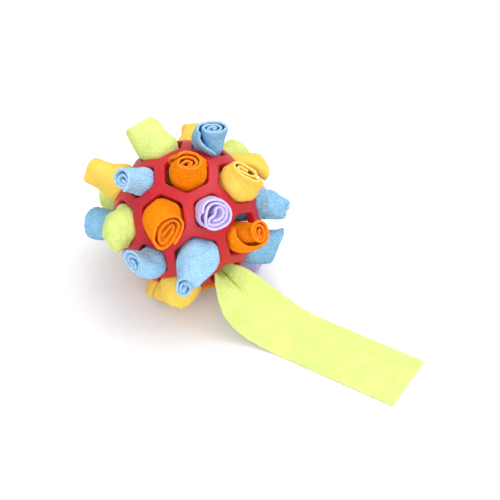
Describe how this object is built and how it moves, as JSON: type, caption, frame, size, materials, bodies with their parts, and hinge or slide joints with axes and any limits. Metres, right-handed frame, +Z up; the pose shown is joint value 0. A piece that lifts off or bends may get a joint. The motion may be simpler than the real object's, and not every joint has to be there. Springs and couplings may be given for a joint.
{
  "type": "dog snuffle ball",
  "caption": "Hollow rubber lattice ball with a rolled fleece strip pushed into every hole and one strip left trailing, for hiding dog treats.",
  "frame": {"origin": "on the floor, where the axis of the lowest rolled strip meets it, on the flat that the roll stands on", "axes": "+Z is up, -Y is the side that faces the camera in the picture, and the loose strip trails off towards +X and -Y"},
  "size_m": [0.2396, 0.1996, 0.1299],
  "materials": {
    "rubber_red": "moulded rubber, satin red, with eased edges at every hole",
    "fleece_orange": "brushed polar fleece, orange, soft short nap",
    "fleece_yellow": "brushed polar fleece, pale golden yellow, soft short nap",
    "fleece_blue": "brushed polar fleece, sky blue, soft pilled nap",
    "fleece_lavender": "brushed polar fleece, lavender, soft short nap",
    "fleece_green": "brushed polar fleece, pale lime green, soft short nap"
  },
  "bodies": {
    "ball": {"rubber_ball": "rubber_red"},
    "orange_roll_top": {"orange_roll_top": "fleece_orange"},
    "orange_roll_front_left": {"orange_roll_front_left": "fleece_orange"},
    "lavender_roll_front": {"lavender_roll_front": "fleece_lavender"},
    "yellow_roll_upper_right": {"yellow_roll_upper_right": "fleece_yellow"},
    "blue_roll_crown": {"blue_roll_crown": "fleece_blue"},
    "blue_roll_upper_left": {"blue_roll_upper_left": "fleece_blue"},
    "blue_roll_lower_left": {"blue_roll_lower_left": "fleece_blue"},
    "blue_roll_front_low": {"blue_roll_front_low": "fleece_blue"},
    "orange_roll_right": {"orange_roll_right": "fleece_orange"},
    "green_roll_left": {"green_roll_left": "fleece_green"},
    "blue_roll_right": {"blue_roll_right": "fleece_blue"},
    "green_tab_top_left": {"green_tab_top_left": "fleece_green"},
    "yellow_tab_left": {"yellow_tab_left": "fleece_yellow"},
    "yellow_tab_back_top": {"yellow_tab_back_top": "fleece_yellow"},
    "yellow_tab_right_back": {"yellow_tab_right_back": "fleece_yellow"},
    "blue_tab_lower_right": {"blue_tab_lower_right": "fleece_blue"},
    "lavender_tab_right_back": {"lavender_tab_right_back": "fleece_lavender"},
    "blue_roll_far_left": {"blue_roll_far_left": "fleece_blue"},
    "yellow_roll_low_front": {"yellow_roll_low_front": "fleece_yellow"},
    "lavender_roll_low_left": {"lavender_roll_low_left": "fleece_lavender"},
    "green_roll_back_right": {"green_roll_back_right": "fleece_green"},
    "green_roll_back_left": {"green_roll_back_left": "fleece_green"},
    "orange_roll_back_left": {"orange_roll_back_left": "fleece_orange"},
    "lavender_roll_back": {"lavender_roll_back": "fleece_lavender"},
    "blue_roll_back_low": {"blue_roll_back_low": "fleece_blue"},
    "yellow_roll_back_low": {"yellow_roll_back_low": "fleece_yellow"},
    "lavender_roll_low_right": {"lavender_roll_low_right": "fleece_lavender"},
    "orange_roll_low_back": {"orange_roll_low_back": "fleece_orange"},
    "yellow_roll_under_left": {"yellow_roll_under_left": "fleece_yellow"},
    "orange_roll_under_front": {"orange_roll_under_front": "fleece_orange"},
    "blue_roll_under": {"blue_roll_under": "fleece_blue"},
    "green_tail_strip": {"green_tail_strip": "fleece_green"}
  },
  "joints": [
    {"name": "orange_roll_top_pull", "type": "slide", "parent": "ball", "child": "orange_roll_top", "axis": [0.0238, -0.2522, 0.9674], "range_m": [0, 0.032]},
    {"name": "orange_roll_front_left_pull", "type": "slide", "parent": "ball", "child": "orange_roll_front_left", "axis": [-0.2905, -0.7618, 0.5791], "range_m": [0, 0.032]},
    {"name": "lavender_roll_front_pull", "type": "slide", "parent": "ball", "child": "lavender_roll_front", "axis": [0.3446, -0.6941, 0.632], "range_m": [0, 0.032]},
    {"name": "yellow_roll_upper_right_pull", "type": "slide", "parent": "ball", "child": "yellow_roll_upper_right", "axis": [0.6836, -0.1564, 0.7129], "range_m": [0, 0.032]},
    {"name": "blue_roll_crown_pull", "type": "slide", "parent": "ball", "child": "blue_roll_crown", "axis": [0.2996, 0.3221, 0.898], "range_m": [0, 0.032]},
    {"name": "blue_roll_upper_left_pull", "type": "slide", "parent": "ball", "child": "blue_roll_upper_left", "axis": [-0.5874, -0.2291, 0.7762], "range_m": [0, 0.032]},
    {"name": "blue_roll_lower_left_pull", "type": "slide", "parent": "ball", "child": "blue_roll_lower_left", "axis": [-0.4497, -0.8927, -0.0277], "range_m": [0, 0.032]},
    {"name": "blue_roll_front_low_pull", "type": "slide", "parent": "ball", "child": "blue_roll_front_low", "axis": [0.175, -0.9809, 0.0846], "range_m": [0, 0.032]},
    {"name": "orange_roll_right_pull", "type": "slide", "parent": "ball", "child": "orange_roll_right", "axis": [0.7771, -0.6068, 0.1673], "range_m": [0, 0.032]},
    {"name": "green_roll_left_pull", "type": "slide", "parent": "ball", "child": "green_roll_left", "axis": [-0.8484, -0.4703, 0.2429], "range_m": [0, 0.032]},
    {"name": "blue_roll_right_pull", "type": "slide", "parent": "ball", "child": "blue_roll_right", "axis": [0.9855, -0.0008, 0.1695], "range_m": [0, 0.032]},
    {"name": "green_tab_top_left_pull", "type": "slide", "parent": "ball", "child": "green_tab_top_left", "axis": [-0.3399, 0.3543, 0.8712], "range_m": [0, 0.032]},
    {"name": "yellow_tab_left_pull", "type": "slide", "parent": "ball", "child": "yellow_tab_left", "axis": [-0.8789, 0.2195, 0.4234], "range_m": [0, 0.032]},
    {"name": "yellow_tab_back_top_pull", "type": "slide", "parent": "ball", "child": "yellow_tab_back_top", "axis": [0.0952, 0.8249, 0.5572], "range_m": [0, 0.032]},
    {"name": "yellow_tab_right_back_pull", "type": "slide", "parent": "ball", "child": "yellow_tab_right_back", "axis": [0.7277, 0.5093, 0.4594], "range_m": [0, 0.032]},
    {"name": "blue_tab_lower_right_pull", "type": "slide", "parent": "ball", "child": "blue_tab_lower_right", "axis": [0.8789, -0.2195, -0.4234], "range_m": [0, 0.032]},
    {"name": "lavender_tab_right_back_pull", "type": "slide", "parent": "ball", "child": "lavender_tab_right_back", "axis": [0.8484, 0.4703, -0.2429], "range_m": [0, 0.032]},
    {"name": "blue_roll_far_left_pull", "type": "slide", "parent": "ball", "child": "blue_roll_far_left", "axis": [-0.9855, 0.0008, -0.1695], "range_m": [0, 0.032]},
    {"name": "yellow_roll_low_front_pull", "type": "slide", "parent": "ball", "child": "yellow_roll_low_front", "axis": [-0.0952, -0.8249, -0.5572], "range_m": [0, 0.032]},
    {"name": "lavender_roll_low_left_pull", "type": "slide", "parent": "ball", "child": "lavender_roll_low_left", "axis": [-0.7277, -0.5093, -0.4594], "range_m": [0, 0.032]},
    {"name": "green_roll_back_right_pull", "type": "slide", "parent": "ball", "child": "green_roll_back_right", "axis": [0.4497, 0.8927, 0.0277], "range_m": [0, 0.032]},
    {"name": "green_roll_back_left_pull", "type": "slide", "parent": "ball", "child": "green_roll_back_left", "axis": [-0.7771, 0.6068, -0.1673], "range_m": [0, 0.032]},
    {"name": "orange_roll_back_left_pull", "type": "slide", "parent": "ball", "child": "orange_roll_back_left", "axis": [-0.5224, 0.7516, 0.4027], "range_m": [0, 0.032]},
    {"name": "lavender_roll_back_pull", "type": "slide", "parent": "ball", "child": "lavender_roll_back", "axis": [-0.175, 0.9809, -0.0846], "range_m": [0, 0.032]},
    {"name": "blue_roll_back_low_pull", "type": "slide", "parent": "ball", "child": "blue_roll_back_low", "axis": [-0.3446, 0.6941, -0.632], "range_m": [0, 0.032]},
    {"name": "yellow_roll_back_low_pull", "type": "slide", "parent": "ball", "child": "yellow_roll_back_low", "axis": [0.2905, 0.7618, -0.5791], "range_m": [0, 0.032]},
    {"name": "lavender_roll_low_right_pull", "type": "slide", "parent": "ball", "child": "lavender_roll_low_right", "axis": [0.5874, 0.2291, -0.7762], "range_m": [0, 0.032]},
    {"name": "orange_roll_low_back_pull", "type": "slide", "parent": "ball", "child": "orange_roll_low_back", "axis": [-0.6836, 0.1564, -0.7129], "range_m": [0, 0.032]},
    {"name": "yellow_roll_under_left_pull", "type": "slide", "parent": "ball", "child": "yellow_roll_under_left", "axis": [-0.2996, -0.3221, -0.898], "range_m": [0, 0.032]},
    {"name": "orange_roll_under_front_pull", "type": "slide", "parent": "ball", "child": "orange_roll_under_front", "axis": [0.3399, -0.3543, -0.8712], "range_m": [0, 0.032]},
    {"name": "blue_roll_under_pull", "type": "slide", "parent": "ball", "child": "blue_roll_under", "axis": [-0.0238, 0.2522, -0.9674], "range_m": [0, 0.032]},
    {"name": "green_tail_strip_pull", "type": "slide", "parent": "ball", "child": "green_tail_strip", "axis": [0.5707, -0.8211, 0], "range_m": [0, 0.032]}
  ]
}
